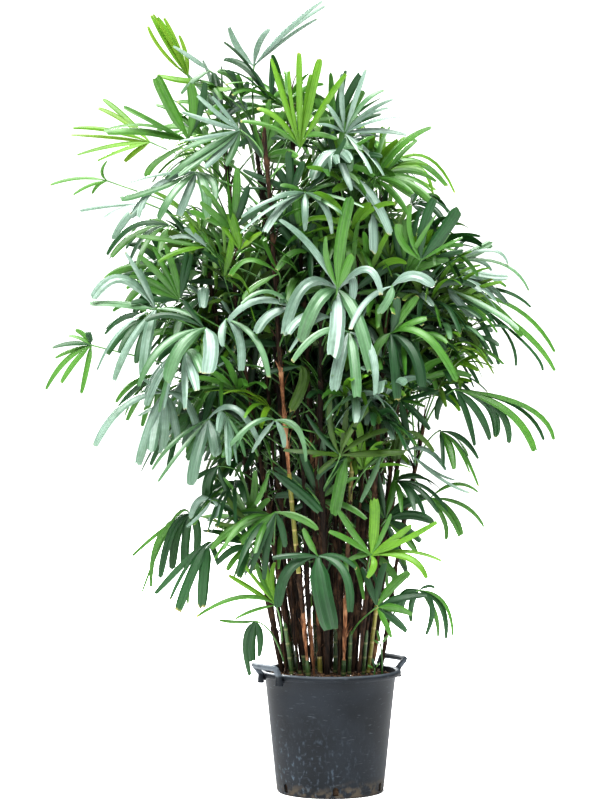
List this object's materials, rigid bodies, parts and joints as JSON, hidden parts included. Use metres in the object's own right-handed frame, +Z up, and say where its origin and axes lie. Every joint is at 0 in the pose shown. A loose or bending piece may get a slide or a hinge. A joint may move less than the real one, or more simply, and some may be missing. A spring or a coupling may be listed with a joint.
{
  "type": "potted lady palm",
  "caption": "Lady palm in a round nursery pot: a clump of slim fibrous canes carries fans of split, pleated leaves in layers from near the soil to the tip.",
  "frame": {"origin": "centre of the pot's flat underside", "axes": "+Z up, -Y to the front as pictured, +X to the right of that view"},
  "size_m": [1.4956, 0.9359, 2.2355],
  "materials": {
    "pot": "scuffed matt slate-grey plastic",
    "soil": "damp potting mix",
    "cane": "green ringed cane, partly in brown fibre",
    "foliage": "dense leaves",
    "leaf": "satin green leaf"
  },
  "bodies": {
    "root": {"pot": "pot", "soil": "soil", "grip_left": "pot", "grip_right": "pot", "cane_01": "cane", "cane_02": "cane", "cane_03": "cane", "cane_04": "cane", "cane_05": "cane", "cane_06": "cane", "cane_07": "cane", "cane_08": "cane", "cane_09": "cane", "cane_10": "cane", "cane_11": "cane", "cane_12": "cane", "cane_13": "cane", "cane_14": "cane", "cane_15": "cane", "cane_16": "cane", "foliage_top_left": "foliage", "foliage_top": "foliage", "foliage_upper_left": "foliage", "foliage_upper_front": "foliage", "foliage_upper_back": "foliage", "foliage_upper_right": "foliage", "foliage_mid_left": "foliage", "foliage_mid_front": "foliage", "foliage_mid_back": "foliage", "foliage_mid_right": "foliage", "foliage_low_left": "foliage", "foliage_low_right": "foliage", "leaf_top": "leaf", "leaf_top_left": "leaf", "leaf_left_crest": "leaf", "leaf_left_high": "leaf", "leaf_left_tip": "leaf", "leaf_left_fall": "leaf", "leaf_crest": "leaf", "leaf_star_right": "leaf", "leaf_right_arc": "leaf", "leaf_right_high": "leaf", "leaf_right_upper": "leaf", "leaf_right_far": "leaf", "leaf_right_low": "leaf", "leaf_right_foot": "leaf", "leaf_low_right": "leaf", "leaf_low_star": "leaf", "leaf_front_low": "leaf", "leaf_sprout": "leaf", "leaf_low_fall": "leaf", "leaf_low_left": "leaf", "leaf_low_left_outer": "leaf", "leaf_left_low": "leaf", "leaf_left_small": "leaf", "leaf_left_mid": "leaf", "leaf_back_high": "leaf", "leaf_back_right": "leaf", "leaf_back_left": "leaf", "leaf_back_low": "leaf"}
  },
  "joints": []
}
